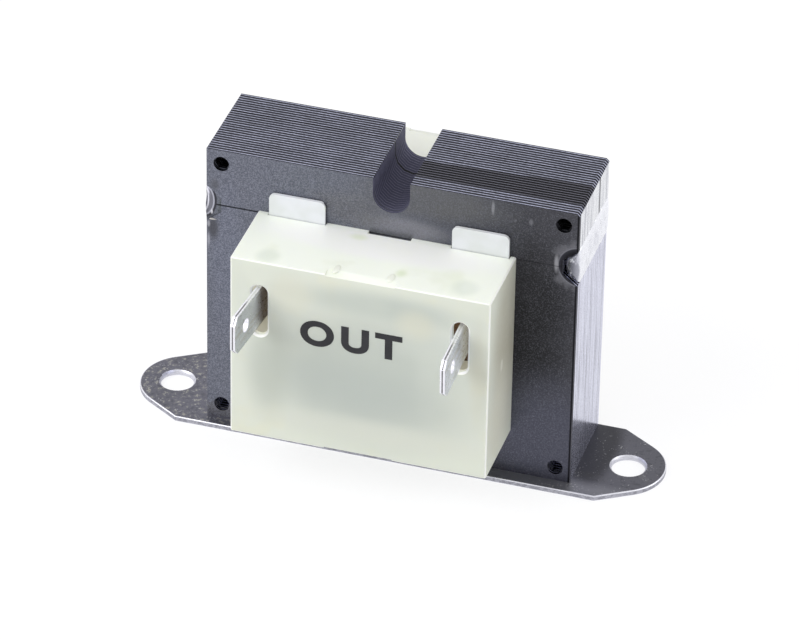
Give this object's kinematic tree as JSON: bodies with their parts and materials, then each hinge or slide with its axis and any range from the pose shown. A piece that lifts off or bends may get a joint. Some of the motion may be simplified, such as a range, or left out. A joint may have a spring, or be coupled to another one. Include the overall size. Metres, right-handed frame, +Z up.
{
  "type": "transformer",
  "caption": "Small shell-type power transformer with a welded lamination stack on a foot plate, shrouded coil and push-on blade terminals in front and behind.",
  "frame": {"origin": "middle of the foot plate's underside, halfway between its two mounting holes", "axes": "+X along the foot plate, to the right as seen facing the load terminals; the load terminals point along -Y; +Z up, away from the plate"},
  "size_m": [0.083, 0.0612, 0.0485],
  "materials": {
    "plate_steel": "dark mill finish with bright speckles and bright sheared edges",
    "lamination_steel": "blue-grey oxide on the faces, bright sheared edges",
    "bar_lamination_steel": "blue-grey oxide on the faces, bright sheared edges",
    "weld_metal": "smooth bright weld metal with a heat-tinted rim",
    "bobbin_nylon": "natural white nylon",
    "cover_nylon": "natural milky nylon, slightly translucent",
    "enamelled_wire": "copper wire under dark brown enamel",
    "tinned_brass": "dull tin plating with bright edges"
  },
  "bodies": {
    "root": {"bobbin": "bobbin_nylon", "e_lamination_01": "lamination_steel", "e_lamination_02": "lamination_steel", "e_lamination_03": "lamination_steel", "e_lamination_04": "lamination_steel", "e_lamination_05": "lamination_steel", "e_lamination_06": "lamination_steel", "e_lamination_07": "lamination_steel", "e_lamination_08": "lamination_steel", "e_lamination_09": "lamination_steel", "e_lamination_10": "lamination_steel", "e_lamination_11": "lamination_steel", "e_lamination_12": "lamination_steel", "e_lamination_13": "lamination_steel", "e_lamination_14": "lamination_steel", "e_lamination_15": "lamination_steel", "e_lamination_16": "lamination_steel", "e_lamination_17": "lamination_steel", "e_lamination_18": "lamination_steel", "e_lamination_19": "lamination_steel", "e_lamination_20": "lamination_steel", "e_lamination_21": "lamination_steel", "e_lamination_22": "lamination_steel", "e_lamination_23": "lamination_steel", "e_lamination_24": "lamination_steel", "e_lamination_25": "lamination_steel", "e_lamination_26": "lamination_steel", "foot_plate": "plate_steel", "front_cover": "cover_nylon", "i_laminations": "bar_lamination_steel", "line_terminal_left": "tinned_brass", "line_terminal_right": "tinned_brass", "load_terminal_left": "tinned_brass", "load_terminal_right": "tinned_brass", "primary_winding": "enamelled_wire", "rear_cover": "cover_nylon", "secondary_winding": "enamelled_wire", "weld_bead_left": "weld_metal", "weld_bead_right": "weld_metal"}
  },
  "joints": []
}
